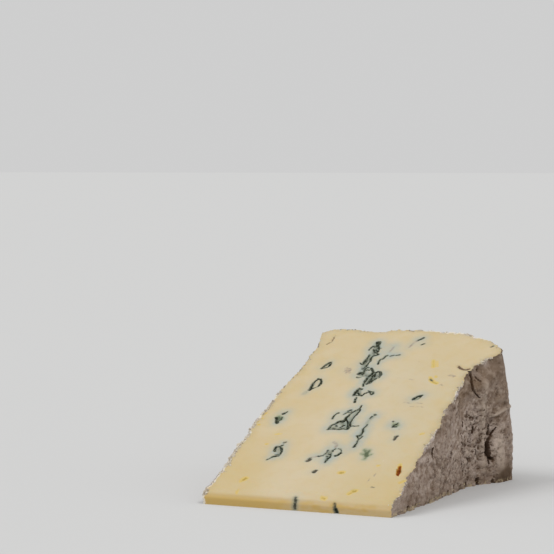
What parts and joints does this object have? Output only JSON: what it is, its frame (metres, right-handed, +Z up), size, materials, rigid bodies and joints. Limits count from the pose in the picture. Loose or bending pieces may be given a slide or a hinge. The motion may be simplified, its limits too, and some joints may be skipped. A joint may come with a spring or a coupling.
{
  "type": "blue cheese wedge",
  "caption": "Wedge of soft blue cheese cut from a wheel, lying on a cut face, with mould veins opening in its pale paste and a rough grey rind; food to slice or serve.",
  "frame": {"origin": "middle of the part's bounding box in plan, on the cut face that it lies on", "axes": "+Z up from that face, +Y from the blunt tip to the wheel's outer rind, +X towards the rind face that flares at the rim"},
  "size_m": [0.0824, 0.1116, 0.0562],
  "materials": {
    "cheese": "soft, slightly moist cream-yellow paste with blue-green mould, and a dry grey-brown rind"
  },
  "bodies": {
    "root": {"cheese_wedge": "cheese"}
  },
  "joints": []
}
